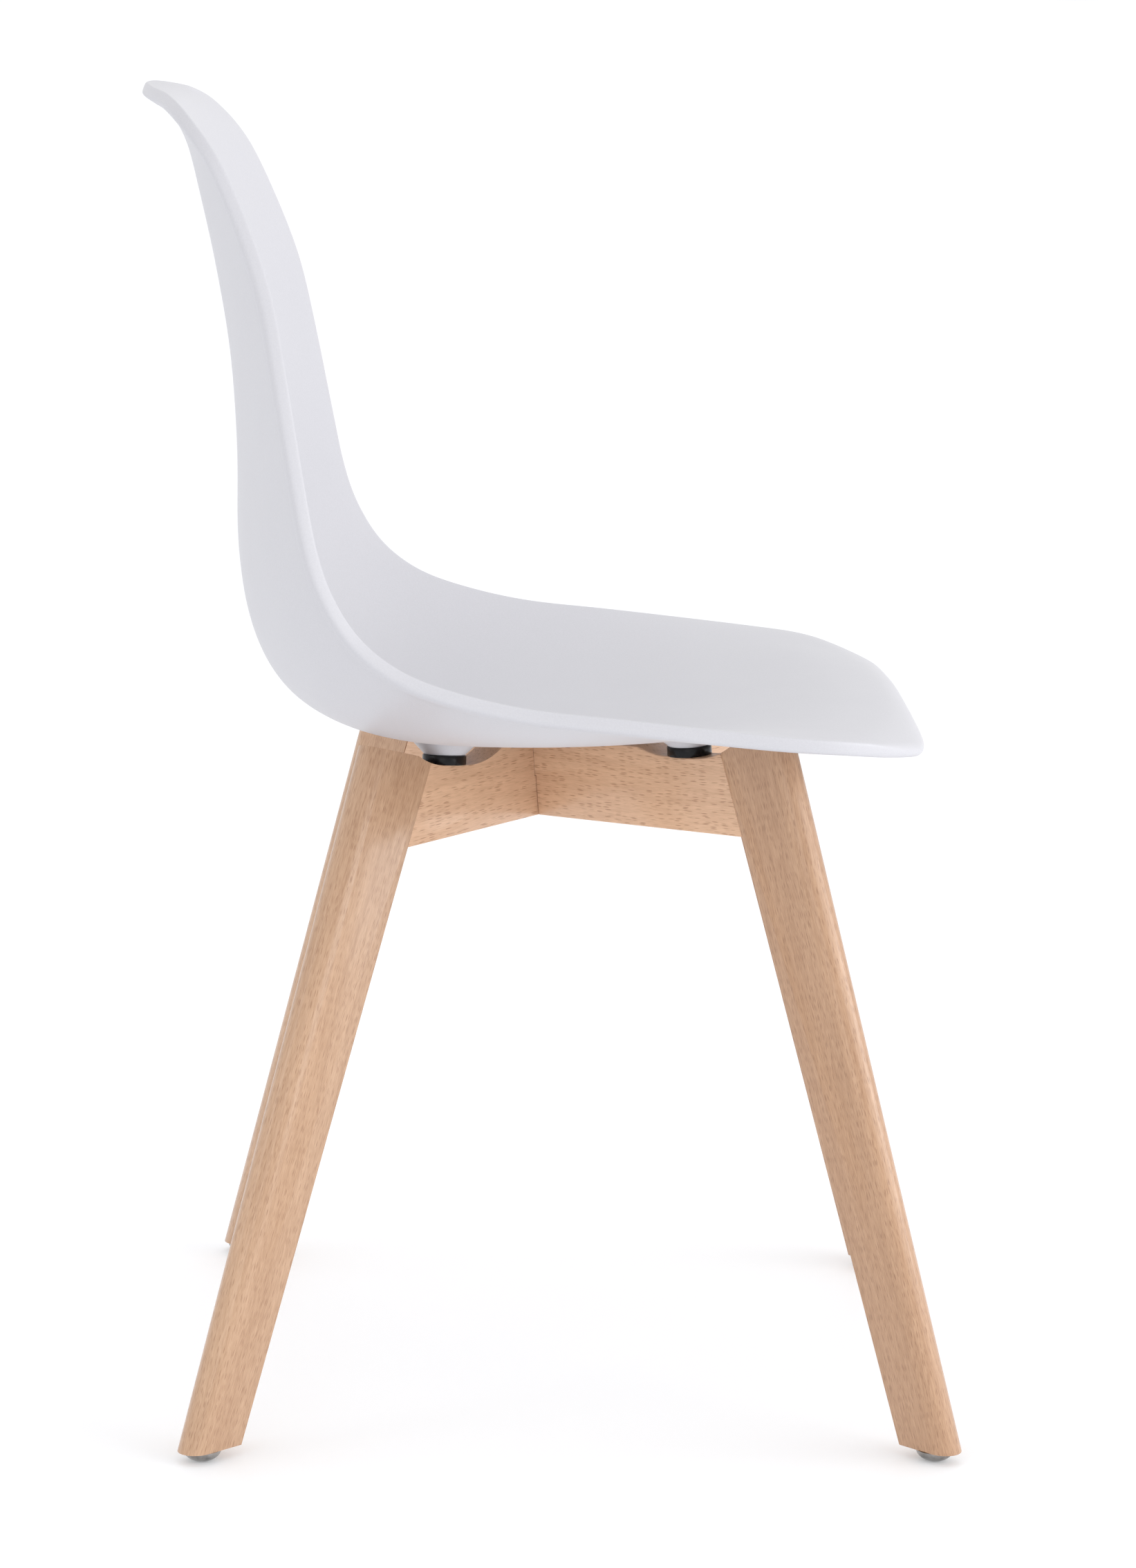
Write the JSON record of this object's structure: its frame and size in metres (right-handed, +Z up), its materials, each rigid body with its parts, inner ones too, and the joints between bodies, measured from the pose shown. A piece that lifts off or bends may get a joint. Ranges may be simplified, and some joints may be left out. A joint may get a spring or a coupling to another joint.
{
  "type": "dining chair",
  "caption": "Dining chair with a one-piece moulded plastic shell, bolted through rubber spacers to a crossed beech frame with splayed legs and nail-on glides.",
  "frame": {"origin": "on the floor, under the middle of the chair's bounding box", "axes": "+Z up, -Y towards the front edge of the seat, +X to the sitter's left"},
  "size_m": [0.4828, 0.5078, 0.8128],
  "materials": {
    "shell_plastic": "satin, fine moulded grain",
    "beech": "clear satin lacquer",
    "dowel_wood": "raw",
    "spacer_rubber": "smooth",
    "insert_brass": "machined",
    "screw_steel": "zinc plated",
    "glide_nickel": "polished nickel plate"
  },
  "bodies": {
    "root": {"seat_shell": "shell_plastic", "beam_rear_right": "beech", "beam_rear_left": "beech", "leg_front_right": "beech", "leg_front_left": "beech", "leg_rear_right": "beech", "leg_rear_left": "beech", "spacer_front_right": "spacer_rubber", "spacer_front_left": "spacer_rubber", "spacer_rear_right": "spacer_rubber", "spacer_rear_left": "spacer_rubber", "threaded_inserts": "insert_brass", "seat_screws": "screw_steel", "screw_washers": "screw_steel", "lap_screw": "screw_steel", "dowels_front_right": "dowel_wood", "dowels_front_left": "dowel_wood", "dowels_rear_right": "dowel_wood", "dowels_rear_left": "dowel_wood", "glide_front_right": "glide_nickel", "glide_front_left": "glide_nickel", "glide_rear_right": "glide_nickel", "glide_rear_left": "glide_nickel"}
  },
  "joints": []
}
